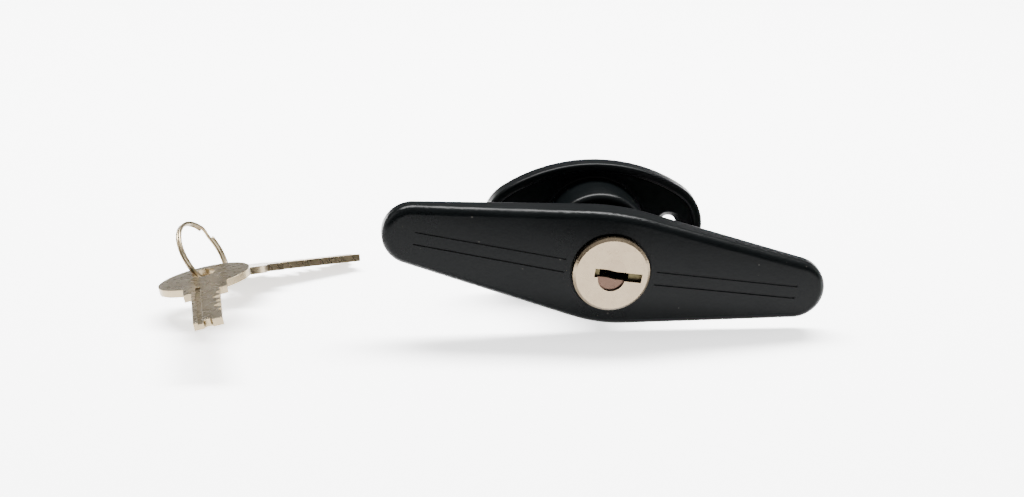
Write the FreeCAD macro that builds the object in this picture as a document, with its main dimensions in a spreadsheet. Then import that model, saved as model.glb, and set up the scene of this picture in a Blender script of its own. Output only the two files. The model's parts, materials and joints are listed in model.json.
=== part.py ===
import FreeCAD, Part
import math
import os
import Sketcher
from FreeCAD import Placement, Rotation, Vector

# A locking T-handle latch with its oval plate and its two keys, in millimetres.
# The origin is the middle of the plate's back, where it meets the door.
# +Y points into the door, +X runs along the plate and +Z is up.

SIZES = [
    ("plate_length", 61.0, "oval plate, tip to tip"),
    ("plate_width", 36.5, "oval plate, top to bottom"),
    ("plate_end_radius", 13.0, "arc at each tip of the oval"),
    ("rim_height", 4.2, "door to the crest of the rim"),
    ("rim_width", 2.4, "rim, seen from the front"),
    ("rim_round", 0.8, "outer and inner rounding of the rim"),
    ("floor_height", 2.6, "door to the floor of the dish"),
    ("well_depth", 3.2, "round well in the plate's back, for the washers"),
    ("well_diameter", 22.4, "round well in the plate's back"),
    ("web_height", 5.4, "door to the front of the web that the shank's shoulder turns on"),
    ("collar_diameter", 27.3, "collar round the shank"),
    ("collar_height", 15.8, "door to the front of the collar"),
    ("collar_round", 1.8, "rounding of the collar's front edge"),
    ("collar_foot_round", 0.6, "fillet where the collar meets the dish"),
    ("screw_spacing", 42.8, "between the two screw holes"),
    ("screw_hole", 4.5, "screw hole"),
    ("screw_sink", 7.6, "countersink at the dish floor"),
    ("running_gap", 0.05, "radial clearance of every turning fit"),
    ("end_gap", 0.1, "clearance between faces that slide past each other"),
    ("bar_turn", 8.7, "clockwise lean of the bar from the plate's length"),
    ("bar_length", 120.7, "bar, tip to tip"),
    ("bar_taper", 8.4, "slope of each long side"),
    ("bar_end_radius", 8.3, "rounding of the tips, seen from the front"),
    ("bar_waist_radius", 55.0, "soft corner in the middle of each long side"),
    ("bar_front", 37.3, "door to the front of the bar in the middle"),
    ("bar_depth", 10.2, "thickness of the bar in the middle"),
    ("bar_sweep", 6.0, "angle at which the arms lean back"),
    ("bar_back_sweep", 1.5, "angle of the back of the arms"),
    ("bar_bend_radius", 45.0, "bend between the two arms"),
    ("bar_crown_radius", 60.0, "crown across the front of the bar"),
    ("bar_front_round", 2.5, "rounding of the bar's front edge"),
    ("bar_back_round", 1.4, "rounding of the bar's back edge"),
    ("line_spacing", 3.7, "between the two engraved lines of an arm"),
    ("line_width", 0.6, "engraved line"),
    ("line_depth", 0.35, "engraved line"),
    ("line_start", 12.2, "middle of the bar to the start of a line"),
    ("line_end", 52.0, "middle of the bar to the end of a line"),
    ("shank_diameter", 21.9, "shank in the collar"),
    ("shank_root_radius", 2.4, "fillet between the bar and the shank"),
    ("journal_diameter", 15.9, "narrow end of the shank, behind the shoulder"),
    ("journal_reach", 10.0, "door to the end of the shank"),
    ("seal_section", 1.5, "thickness of the seal ring"),
    ("seal_height", 14.0, "door to the middle of the seal ring"),
    ("face_height", 38.6, "door to the lock's face"),
    ("face_diameter", 20.4, "lock face with its bevel"),
    ("face_bevel", 0.7, "bevel round the lock face"),
    ("face_thickness", 1.5, "sheet of the face cap"),
    ("face_seat_depth", 3.2, "lock's face to the seat of the lock's head"),
    ("recess_gap", 0.55, "ring gap round the lock face"),
    ("plug_head_diameter", 18.2, "head of the plug, inside the cap"),
    ("plug_diameter", 14.0, "plug"),
    ("plug_length", 22.6, "lock's face to the back end of the plug"),
    ("plug_lead", 2.3, "turn of the keyway from the bar's length"),
    ("slot_left", 4.6, "lock's axis to the left end of the face slot"),
    ("slot_right", 8.0, "lock's axis to the right end of the face slot"),
    ("slot_width", 2.4, "face slot"),
    ("slot_jog", 0.36, "sideways step of the slot's two halves"),
    ("dimple_width", 7.2, "oval recess under the slot"),
    ("dimple_height", 9.1, "oval recess under the slot"),
    ("dimple_depth", 0.75, "lower half of the recess"),
    ("dimple_upper_depth", 0.15, "upper half of the recess"),
    ("keyway_left", 3.1, "lock's axis to the left end of the keyway"),
    ("keyway_right", 4.7, "lock's axis to the right end of the keyway"),
    ("keyway_width", 2.2, "keyway"),
    ("keyway_depth", 17.2, "lock's face to the bottom of the keyway"),
    ("wafer_first_depth", 5.2, "lock's face to the middle of the first wafer"),
    ("wafer_pitch", 2.5, "between wafers"),
    ("wafer_thickness", 1.0, "wafer"),
    ("wafer_slack", 0.1, "clearance of a wafer in its slot, each side"),
    ("wafer_width", 5.2, "wafer, across its travel"),
    ("wafer_inset", 0.12, "wafer's ends below the plug's surface"),
    ("window_width", 2.7, "window in a wafer"),
    ("lug_height", 4.2, "lock's axis to the top of a wafer's lug"),
    ("spring_radius", 0.5, "outer radius of a wafer's spring"),
    ("spring_length", 4.2, "a wafer's spring, as fitted"),
    ("channel_reach", 8.7, "lock's axis to the end of the wafer channels"),
    ("catch_pitch", 4.5, "last wafer to the catch wafer"),
    ("catch_reach", 8.0, "lock's axis to the nose of the catch wafer"),
    ("catch_groove_radius", 8.4, "groove that holds the catch wafer"),
    ("pin_offset", 1.2, "lock's axis to the drive pin's axis"),
    ("pin_radius", 1.1, "drive pin"),
    ("pin_slack", 0.2, "clearance of the drive pin in the bolt's slot"),
    ("pin_seat_depth", 2.2, "drive pin in the plug"),
    ("chamber_radius", 3.2, "hole that the drive pin swings in"),
    ("bolt_height", 9.2, "door to the middle of the locking bolt"),
    ("bolt_thickness", 5.0, "locking bolt along the shank"),
    ("bolt_width", 6.0, "locking bolt across the shank"),
    ("bolt_tail", 4.4, "lock's axis to the inner end of the bolt"),
    ("bolt_inset", 0.35, "bolt's nose below the shank, drawn back"),
    ("bolt_slack", 0.06, "clearance of the bolt in its pocket, each side"),
    ("notch_radius", 12.5, "shank's axis to the end of a collar notch"),
    ("notch_play", 1.5, "free turn of the locked handle, each way"),
    ("socket_side", 8.0, "square spindle"),
    ("socket_gap", 0.04, "clearance of the spindle in its socket, each side"),
    ("socket_depth", 9.5, "spindle inside the shank"),
    ("spindle_reach", 28.0, "door to the end of the spindle"),
    ("spindle_chamfer", 0.8, "end of the spindle"),
    ("cross_pin_radius", 1.25, "spring pin through shank and spindle"),
    ("cross_pin_wall", 0.5, "wall of the spring pin"),
    ("cross_pin_height", 6.6, "door to the spring pin, inwards"),
    ("washer_diameter", 21.6, "flat washer and disc spring"),
    ("washer_thickness", 0.8, "flat washer"),
    ("disc_thickness", 0.5, "sheet of the disc spring"),
    ("disc_dish", 0.45, "height of the disc spring's cone"),
    ("clip_thickness", 1.0, "retaining ring"),
    ("clip_bite", 0.6, "depth of the retaining ring's groove"),
    ("clip_width", 1.9, "retaining ring, seen along the shank"),
    ("clip_opening", 50.0, "angle of the retaining ring's opening"),
    ("key_thickness", 2.0, "key"),
    ("bow_width", 24.6, "key's oval bow, across the key"),
    ("bow_length", 17.6, "key's oval bow, along the key"),
    ("bow_hole_radius", 3.2, "hole for the ring"),
    ("bow_hole_edge", 2.2, "hole to the back edge of the bow"),
    ("shoulder_width", 11.6, "key's shoulders"),
    ("shoulder_length", 4.0, "key's shoulders, past the bow"),
    ("blade_width", 7.5, "blade"),
    ("blade_length", 25.0, "blade, from the shoulders to the tip"),
    ("blade_line_width", 1.3, "milled groove along the blade"),
    ("blade_line_depth", 0.55, "milled groove along the blade"),
    ("cut_pitch", 3.6, "between the cuts of the blade"),
    ("cut_depth", 2.0, "deepest cut of the blade"),
    ("cut_floor", 1.2, "flat at the bottom of a cut"),
    ("cut_slope", 1.4, "run of a cut's flank, past the blade's edge"),
    ("blade_line_edge", 1.2, "edge of the blade to the milled groove"),
    ("first_key_x", -105.43, "place of the first key's bow"),
    ("first_key_y", -17.56, "place of the first key's bow"),
    ("first_key_z", -10.92, "place of the first key's bow"),
    ("first_key_yaw", 4.24, "turn of the first key about the vertical"),
    ("first_key_pitch", -12.57, "its tilt to the side"),
    ("first_key_roll", -6.32, "its tilt along the blade"),
    ("second_key_x", -98.37, "place of the second key's bow"),
    ("second_key_y", 0.01, "place of the second key's bow"),
    ("second_key_z", -15.74, "place of the second key's bow"),
    ("second_key_yaw", 117.49, "turn of the second key about the vertical"),
    ("second_key_pitch", 20.08, "its tilt to the side"),
    ("second_key_roll", 4.83, "its tilt along the blade"),
    ("ring_x", -106.36, "place of the key ring's middle"),
    ("ring_y", -4.43, "place of the key ring's middle"),
    ("ring_z", -8.11, "place of the key ring's middle"),
    ("ring_yaw", -17.54, "turn of the key ring about the vertical"),
    ("ring_pitch", 51.89, "its tilt from lying flat"),
    ("ring_roll", 0.0, "its turn about its own axis"),
    ("tip_notch", 1.1, "radius of the notch in the tip"),
    ("ring_radius", 9.6, "key ring, to the middle of the wire"),
    ("ring_wire_width", 1.0, "key ring's wire, across"),
    ("ring_wire_height", 0.75, "key ring's wire, one turn"),
    ("seal_lift", 0.1, "seal ring below the shank's surface"),
    ("catch_wafer_end", 2.4, "lock's axis to the inner end of the catch wafer"),
    ("catch_slot_end", 1.2, "lock's axis to the bottom of the catch wafer's slot"),
    ("lug_near", 0.7, "end of the keyway to a wafer's lug"),
    ("lug_far", 1.8, "end of the keyway to the lug's far side"),
    ("pin_clear", 1.8, "bottom of the bolt to the end of the drive pin"),
    ("bolt_slot_floor", 1.5, "bottom of the bolt to the floor of its slot"),
    ("catch_play", 0.2, "clearance of the catch wafer in its groove, each side"),
    ("catch_bevel", 1.0, "bevel of the catch wafer's nose"),
    ("notch_inset", 1.6, "journal to the inner edge of a collar notch"),
    ("window_play", 0.3, "window of a wafer beyond the keyway, each side"),
    ("seal_play", 0.2, "clearance of the seal ring in its groove, each side"),
    ("shank_overlap", 1.5, "shank's root inside the bar"),
    ("eye_radius", 1.43, "eye of the retaining ring"),
    ("eye_lift", 0.35, "eye's middle beyond the ring's own"),
    ("eye_hole", 0.6, "plier hole in an eye"),
    ("eye_turn", 6.0, "angle from the ring's opening to an eye's middle"),
    ("opening_turn", 8.0, "angle by which the opening is cut back under the eyes"),
    ("pin_end_inset", 0.3, "spring pin's ends below the journal"),
    ("cut_margin", 3.0, "reach of a cutting outline beyond the piece it cuts"),
]
WAFER_COUNT = 5

# Heights in front of the door that follow from the sizes above
DERIVED = {
    "face_seat_height": "(face_height - face_seat_depth)",
    "plug_end_height": "(face_height - plug_length)",
    "keyway_end_height": "(face_height - keyway_depth)",
    "wafer_first_height": "(face_height - wafer_first_depth)",
    "catch_height": f"(wafer_first_height - {WAFER_COUNT - 1} * wafer_pitch - catch_pitch)",
    "disc_start": "(end_gap - well_depth)",
    "washer_start": "(disc_start + disc_thickness + disc_dish + end_gap / 2)",
    "clip_start": "(washer_start + washer_thickness)",
    "plug_bore": "(plug_diameter / 2 + running_gap)",
    "spring_axis": "(wafer_width / 4 + lug_height / 2)",
    "spring_start": "(-(keyway_left + lug_near))",
    "pin_x": "(pin_offset * cos(45 - plug_lead))",
    "pin_z": "(pin_offset * sin(45 - plug_lead))",
}

# The wafers' windows off the middle, and the keys' cuts as shares of the deepest one
WINDOW_SHIFTS = [0.55, -0.35, 0.2, -0.5, 0.4]
CUT_DEPTHS = [0.5, 1.0, 0.6, 0.9, 0.4]
NOTCH_COUNT = 4

doc = FreeCAD.newDocument("t_handle_latch")
sheet = doc.addObject("Spreadsheet::Sheet", "Sizes")
for row, (alias, value, meaning) in enumerate(SIZES, start=1):
    sheet.set(f"A{row}", meaning)
    sheet.set(f"B{row}", str(value))
    sheet.setAlias(f"B{row}", alias)
doc.recompute()
ALIASES = {alias for alias, value, meaning in SIZES}


def bound(text):
    """The formula with each size's name turned into a reference to its cell."""
    words, word = [], ""
    for letter in text + " ":
        if letter.isalnum() or letter == "_":
            word += letter
            continue
        if word in DERIVED:
            words.append(bound(DERIVED[word]))
        else:
            words.append(f"Sizes.{word}" if word in ALIASES else word)
        words.append(letter)
        word = ""
    return "".join(words).strip()


def number(text):
    """What a formula comes to now."""
    result = sheet.evalExpression(bound(text))
    return float(getattr(result, "Value", result))


def bind(thing, path, text):
    thing.setExpression(path, bound(text))


def new_body(name):
    body = doc.addObject("PartDesign::Body", name)
    body.Label = name
    return body


def new_sketch(body, name, plane="XZ", shift=None, turn_axis=None, turn=None):
    """A sketch on one of the body's own origin planes, moved along its local axes."""
    sketch = body.newObject("Sketcher::SketchObject", name)
    origin_plane = [f for f in body.Origin.OriginFeatures if f.Role == f"{plane}_Plane"]
    sketch.AttachmentSupport = [(origin_plane[0], "")]
    sketch.MapMode = "FlatFace"
    if turn is not None:
        sketch.AttachmentOffset = Placement(Vector(), Rotation(turn_axis, 1))
        bind(sketch, "AttachmentOffset.Rotation.Angle", turn)
    for axis, text in (shift or {}).items():
        bind(sketch, f"AttachmentOffset.Base.{axis}", text)
    return sketch


def pin_point(sketch, geometry, end, x_text, y_text):
    """Holds one point of the sketch at a place worked out from the sizes."""
    for kind, text, axis in (("DistanceX", x_text, -2), ("DistanceY", y_text, -1)):
        value = number(text)
        if text == "0":
            sketch.addConstraint(Sketcher.Constraint("PointOnObject", geometry, end, axis))
            continue
        index = sketch.addConstraint(Sketcher.Constraint(kind, -1, 1, geometry, end, value))
        bind(sketch, f"Constraints[{index}]", text)


def arc_between(start, end, radius, left):
    """The short arc between two points; left says on which side its centre lies."""
    chord = end - start
    half = chord.Length / 2
    across = Vector(-chord.y, chord.x, 0).normalize() * (1 if left else -1)
    centre = (start + end) / 2 + across * math.sqrt(max(radius * radius - half * half, 0))
    a, b = start - centre, end - centre
    first, last = math.atan2(a.y, a.x), math.atan2(b.y, b.x)
    if not left:
        first, last = last, first
    circle = Part.Circle(centre, Vector(0, 0, 1), radius)
    return Part.ArcOfCircle(circle, first, last)


def outline(sketch, corners):
    """A closed outline. A corner is (x, y) before a straight side or (x, y, radius,
    side) before an arc whose centre lies on that side of the way round."""
    places = [Vector(number(c[0]), number(c[1]), 0) for c in corners]
    ends = []
    for i, corner in enumerate(corners):
        here, there = places[i], places[(i + 1) % len(corners)]
        if len(corner) == 2:
            index = sketch.addGeometry(Part.LineSegment(here, there), False)
            ends.append((index, 1, 2))
            continue
        left = corner[3] == "left"
        arc = arc_between(here, there, number(corner[2]), left)
        index = sketch.addGeometry(arc, False)
        ends.append((index, 1, 2) if left else (index, 2, 1))
        number_of = sketch.addConstraint(
            Sketcher.Constraint("Radius", index, number(corner[2]))
        )
        bind(sketch, f"Constraints[{number_of}]", corner[2])
    for i, corner in enumerate(corners):
        index, first, last = ends[i]
        after = ends[(i + 1) % len(corners)]
        sketch.addConstraint(
            Sketcher.Constraint("Coincident", index, last, after[0], after[1])
        )
        pin_point(sketch, index, first, corner[0], corner[1])


def circle(sketch, x_text, y_text, radius_text):
    centre = Vector(number(x_text), number(y_text), 0)
    shape = Part.Circle(centre, Vector(0, 0, 1), number(radius_text))
    index = sketch.addGeometry(shape, False)
    pin_point(sketch, index, 3, x_text, y_text)
    size = sketch.addConstraint(Sketcher.Constraint("Radius", index, number(radius_text)))
    bind(sketch, f"Constraints[{size}]", radius_text)


def rectangle(sketch, left, right, low, high):
    outline(sketch, [(left, low), (right, low), (right, high), (left, high)])


def feature(body, kind, name, sketch, **settings):
    """A PartDesign feature on a sketch; a setting given as text is a formula."""
    made = body.newObject(f"PartDesign::{kind}", name)
    made.Profile = sketch
    for key, value in settings.items():
        if isinstance(value, str):
            bind(made, key, value)
        else:
            setattr(made, key, value)
    sketch.Visibility = False
    doc.recompute()
    return made


def pad(body, name, sketch, length, **settings):
    return feature(body, "Pad", name, sketch, Length=length, **settings)


def cut(body, name, sketch, length=None, **settings):
    """A pocket along the sketch's normal, or through everything both ways. It is an
    error if it takes nothing away."""
    before = body.Shape.Volume
    if length is None:
        made = feature(body, "Pocket", name, sketch, Type=1, Midplane=True, **settings)
    else:
        made = feature(body, "Pocket", name, sketch, Length=length, **settings)
    if body.Shape.Volume > before - 1e-4:
        raise RuntimeError(f"{body.Label}: {name} cuts nothing")
    return made


def turned(body, kind, name, sketch, axis="V_Axis", **settings):
    settings.setdefault("Angle", 360.0)
    return feature(body, kind, name, sketch, ReferenceAxis=(sketch, [axis]), **settings)


def dress(body, kind, name, edges, size):
    """A fillet or chamfer on the edges of the body's last shape that a test picks."""
    base = body.Tip
    made = body.newObject(f"PartDesign::{kind}", name)
    names = [f"Edge{i}" for i, e in enumerate(base.Shape.Edges, 1) if edges(e, base.Shape)]
    if not names:
        raise RuntimeError(f"{body.Label}: {name} finds no edge")
    made.Base = (base, names)
    bind(made, "Size" if kind == "Chamfer" else "Radius", size)
    doc.recompute()
    return made


def pattern(body, name, original, count, length, axis):
    """Copies of a feature along one of the body's own axes."""
    made = body.newObject("PartDesign::LinearPattern", name)
    made.Originals = [original]
    origin_axis = [f for f in body.Origin.OriginFeatures if f.Role == axis]
    made.Direction = (origin_axis[0], [""])
    made.Occurrences = count
    bind(made, "Length", length)
    body.Tip = made
    doc.recompute()
    return made


def always(point):
    return True


def never(point):
    return False


def middle(edge):
    return edge.valueAt((edge.FirstParameter + edge.LastParameter) / 2)


def round_edge_at(y_value, radius):
    """A test for a full or part circle about the Y direction, at that depth."""

    def test(edge, shape):
        curve = edge.Curve
        return (
            curve.TypeId == "Part::GeomCircle"
            and abs(curve.Radius - radius) < 0.01
            and abs(abs(curve.Axis.y) - 1) < 1e-6
            and abs(curve.Center.y - y_value) < 0.01
        )

    return test


def level_edge(y_value, inside, outside):
    """A test for edges at one depth whose middles lie between two distances."""

    def test(edge, shape):
        p = middle(edge)
        flat = abs(p.y - y_value) < 0.01 and abs(edge.BoundBox.YLength) < 0.01
        return flat and inside(p) and not outside(p)

    return test


def lean(body, extra="0"):
    """Turns a piece of the handle to the bar's place at rest, about the shank's axis."""
    body.Placement = Placement(Vector(), Rotation(Vector(0, 1, 0), 1))
    bind(body, "Placement.Rotation.Angle", f"bar_turn - ({extra})")
    return body


# The oval plate with its dish, its collar and the notches for the locking bolt
OVAL_SIDE = (
    "((plate_length / 2) ^ 2 + (plate_width / 2) ^ 2 - plate_length * plate_end_radius)"
    " / (plate_width - 2 * plate_end_radius)"
)


def oval(sketch, inset):
    """The plate's outline made of four tangent arcs, drawn in by the inset."""
    end_centre = "(plate_length / 2 - plate_end_radius)"
    side_centre = f"({OVAL_SIDE} - plate_width / 2)"
    span = f"({OVAL_SIDE} - plate_end_radius)"
    end_radius = f"(plate_end_radius - {inset})"
    joint_x = f"({end_centre} + {end_radius} * {end_centre} / {span})"
    joint_z = f"({end_radius} * {side_centre} / {span})"
    side_radius = f"({OVAL_SIDE} - {inset})"
    outline(
        sketch,
        [
            (joint_x, f"-{joint_z}", end_radius, "left"),
            (joint_x, joint_z, side_radius, "left"),
            (f"-{joint_x}", joint_z, end_radius, "left"),
            (f"-{joint_x}", f"-{joint_z}", side_radius, "left"),
        ],
    )


def make_escutcheon():
    body = new_body("escutcheon")
    whole = new_sketch(body, "plate_outline")
    oval(whole, "0")
    pad(body, "plate", whole, "rim_height")
    dish = new_sketch(body, "dish_outline", shift={"z": "floor_height"})
    oval(dish, "rim_width")
    cut(body, "dish", dish, "rim_height", Reversed=True)
    rim = number("rim_height")
    dress(body, "Fillet", "rim_rounding", level_edge(-rim, always, never), "rim_round")
    collar = new_sketch(body, "collar_outline")
    circle(collar, "0", "0", "collar_diameter / 2")
    pad(body, "collar", collar, "collar_height")
    foot = round_edge_at(-number("floor_height"), number("collar_diameter / 2"))
    dress(body, "Fillet", "collar_foot", foot, "collar_foot_round")
    mouth = round_edge_at(-number("collar_height"), number("collar_diameter / 2"))
    dress(body, "Fillet", "collar_lip", mouth, "collar_round")
    bore = new_sketch(body, "bore_outline", shift={"z": "web_height"})
    circle(bore, "0", "0", "shank_diameter / 2 + running_gap")
    cut(body, "bore", bore, "collar_height", Reversed=True)
    well = new_sketch(body, "well_outline")
    circle(well, "0", "0", "well_diameter / 2")
    cut(body, "well", well, "well_depth", Reversed=True)
    web = new_sketch(body, "web_hole_outline")
    circle(web, "0", "0", "journal_diameter / 2 + running_gap")
    cut(body, "web_hole", web)
    notch = new_sketch(body, "notch_outline")
    notch_sector(notch)
    first = cut(body, "notch", notch, "bolt_height + bolt_thickness", Reversed=True)
    ring = body.newObject("PartDesign::PolarPattern", "notches")
    ring.Originals = [first]
    y_axis = [f for f in body.Origin.OriginFeatures if f.Role == "Y_Axis"]
    ring.Axis = (y_axis[0], [""])
    ring.Occurrences = NOTCH_COUNT
    body.Tip = ring
    doc.recompute()
    holes = new_sketch(body, "screw_holes_outline")
    circle(holes, "screw_spacing / 2", "0", "screw_hole / 2")
    circle(holes, "-screw_spacing / 2", "0", "screw_hole / 2")
    cut(body, "screw_holes", holes)
    sink = round_edge_at(-number("floor_height"), number("screw_hole / 2"))
    dress(body, "Chamfer", "countersinks", sink, "(screw_sink - screw_hole) / 2")
    return body


# The bolt's half angle at the nose, and the notch's two edges seen from the front,
# counted clockwise from straight down: from the bar level with the plate to the
# bar as it rests, with the play added on each side.
BOLT_HALF_ANGLE = "(asin(bolt_width / shank_diameter) / (1 deg))"


def notch_sector(sketch):
    """One notch, at the bottom, as a sector between two radii."""
    early = f"({BOLT_HALF_ANGLE} + notch_play)"
    late = f"({BOLT_HALF_ANGLE} + bar_turn + notch_play)"
    inner = "(journal_diameter / 2 + notch_inset)"
    outline(
        sketch,
        [
            (f"{inner} * sin({early})", f"-{inner} * cos({early})", inner, "right"),
            (f"-{inner} * sin({late})", f"-{inner} * cos({late})"),
            (
                f"-notch_radius * sin({late})",
                f"-notch_radius * cos({late})",
                "notch_radius",
                "left",
            ),
            (f"notch_radius * sin({early})", f"-notch_radius * cos({early})"),
        ],
    )


# The handle: a swept bar and its shank, cast in one
WAIST = (
    "(((bar_length / 2 - bar_end_radius) * sin(bar_taper) + bar_end_radius"
    " - bar_waist_radius) / cos(bar_taper) + bar_waist_radius)"
)


def bar_outline(sketch):
    """The bar seen from the front, inside a frame that is cut away round it."""
    reach = "(bar_length / 2 + 2 * cut_margin)"
    rectangle(sketch, f"-{reach}", reach, f"-{reach} / 2", f"{reach} / 2")
    end_x = "(bar_length / 2 - bar_end_radius + bar_end_radius * sin(bar_taper))"
    end_z = "(bar_end_radius * cos(bar_taper))"
    waist_x = "(bar_waist_radius * sin(bar_taper))"
    waist_z = f"({WAIST} - bar_waist_radius * (1 - cos(bar_taper)))"
    tip_x = "(bar_length / 2)"
    outline(
        sketch,
        [
            (tip_x, "0", "bar_end_radius", "left"),
            (end_x, end_z),
            (waist_x, waist_z, "bar_waist_radius", "left"),
            (f"-{waist_x}", waist_z),
            (f"-{end_x}", end_z, "bar_end_radius", "left"),
            (f"-{tip_x}", "0", "bar_end_radius", "left"),
            (f"-{end_x}", f"-{end_z}"),
            (f"-{waist_x}", f"-{waist_z}", "bar_waist_radius", "left"),
            (waist_x, f"-{waist_z}"),
            (end_x, f"-{end_z}", "bar_end_radius", "left"),
        ],
    )


def swept_line(height, sweep, lift="0"):
    """Corners of the bent front or back line of the bar, left to right, as heights
    above the crown's axis or the door, with the bend's radius at its middle."""
    bend_x = f"(bar_bend_radius * sin({sweep}))"
    bend_y = f"({height} - bar_bend_radius * (1 - cos({sweep})) + {lift})"
    far_x = "(bar_length / 2 + cut_margin)"
    far_y = f"({bend_y} - ({far_x} - {bend_x}) * tan({sweep}))"
    return far_x, far_y, bend_x, bend_y


def is_side_wall(face, edge):
    """Whether a face runs straight back from the bar's outline, at an edge of it."""
    p = middle(edge)
    u, v = face.Surface.parameter(p)
    return abs(face.normalAt(u, v).y) < 1e-3


def bar_edge(front):
    """A test for the edges between the bar's side wall and its front, or its back."""

    def test(edge, shape):
        faces = shape.ancestorsOfType(edge, Part.Face)
        if len(faces) != 2:
            return False
        walls = [is_side_wall(f, edge) for f in faces]
        if walls[0] == walls[1]:
            return False
        other = faces[0] if walls[1] else faces[1]
        u, v = other.Surface.parameter(middle(edge))
        return (other.normalAt(u, v).y < 0) == front

    return test


def make_t_handle():
    body = lean(new_body("t_handle"))
    axis_y = "bar_crown_radius - bar_front"
    blank = new_sketch(body, "front_line", "XY", {"y": axis_y})
    far_x, far_y, bend_x, bend_y = swept_line("bar_crown_radius", "bar_sweep")
    floor_y = "(bar_crown_radius - 2 * bar_depth)"
    outline(
        blank,
        [
            (f"-{far_x}", f"-{floor_y}"),
            (f"-{far_x}", f"-{far_y}"),
            (f"-{bend_x}", f"-{bend_y}", "bar_bend_radius", "left"),
            (bend_x, f"-{bend_y}"),
            (far_x, f"-{far_y}"),
            (far_x, f"-{floor_y}"),
        ],
    )
    turned(body, "Revolution", "crowned_blank", blank, "H_Axis", Angle=44.0, Midplane=True)
    back = new_sketch(body, "back_line", "XY")
    far_x, far_y, bend_x, bend_y = swept_line("(bar_front - bar_depth)", "bar_back_sweep")
    outline(
        back,
        [
            (f"-{far_x}", f"-{far_y}"),
            (f"-{bend_x}", f"-{bend_y}", "bar_bend_radius", "left"),
            (bend_x, f"-{bend_y}"),
            (far_x, f"-{far_y}"),
            (far_x, "bar_depth"),
            (f"-{far_x}", "bar_depth"),
        ],
    )
    cut(body, "back", back)
    sides = new_sketch(body, "bar_outline")
    bar_outline(sides)
    cut(body, "sides", sides)
    dress(body, "Fillet", "front_rounding", bar_edge(True), "bar_front_round")
    dress(body, "Fillet", "back_rounding", bar_edge(False), "bar_back_round")
    engrave(body, "upper", "1")
    engrave(body, "lower", "-1")
    add_shank(body)
    hollow_shank(body)
    return body


def engrave(body, name, sign):
    """One line on each arm, cut at a constant depth below the crowned front."""
    angle = f"{sign} * line_spacing / 2 / bar_crown_radius * 180 / pi"
    sketch = new_sketch(
        body,
        f"{name}_lines_outline",
        "XY",
        {"y": "bar_crown_radius - bar_front"},
        Vector(-1, 0, 0),
        angle,
    )
    far_x, far_y, bend_x, bend_y = swept_line("bar_crown_radius", "bar_sweep")
    for side in ("-", ""):
        deep, high = [], []
        for x in ("line_start", "line_end"):
            y = f"({bend_y} - ({x} - {bend_x}) * tan(bar_sweep))"
            deep.append((f"{side}{x}", f"-({y} - line_depth)"))
            high.append((f"{side}{x}", f"-({y} + line_depth)"))
        outline(sketch, deep + high[::-1])
    width = "line_width / bar_crown_radius * 180 / pi"
    before = body.Shape.Volume
    turned(body, "Groove", f"{name}_lines", sketch, "H_Axis", Angle=width, Midplane=True)
    if body.Shape.Volume > before - 1e-4:
        raise RuntimeError("an engraved line cuts nothing")


def add_shank(body):
    """The shank with its seal groove, its shoulder and its grooved journal."""
    sketch = new_sketch(body, "shank_line", "XY")
    root = "(bar_front - bar_depth)"
    shank = "(shank_diameter / 2)"
    journal = "(journal_diameter / 2)"
    seal_floor = f"({shank} - seal_section - seal_lift)"
    half_seal = "(seal_section / 2 + seal_play)"
    clip_floor = f"({journal} - clip_bite)"
    outline(
        sketch,
        [
            ("0", f"-({root} + shank_overlap)"),
            (f"{shank} + shank_root_radius", f"-({root} + shank_overlap)"),
            (f"{shank} + shank_root_radius", f"-{root}", "shank_root_radius", "right"),
            (shank, f"-({root} - shank_root_radius)"),
            (shank, f"-(seal_height + {half_seal})"),
            (seal_floor, f"-(seal_height + {half_seal})"),
            (seal_floor, f"-(seal_height - {half_seal})"),
            (shank, f"-(seal_height - {half_seal})"),
            (shank, "-(web_height + end_gap)"),
            (journal, "-(web_height + end_gap)"),
            (journal, "clip_start"),
            (clip_floor, "clip_start"),
            (clip_floor, f"clip_start + clip_thickness + end_gap"),
            (journal, f"clip_start + clip_thickness + end_gap"),
            (journal, "journal_reach"),
            ("0", "journal_reach"),
        ],
    )
    turned(body, "Revolution", "shank", sketch)




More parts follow.
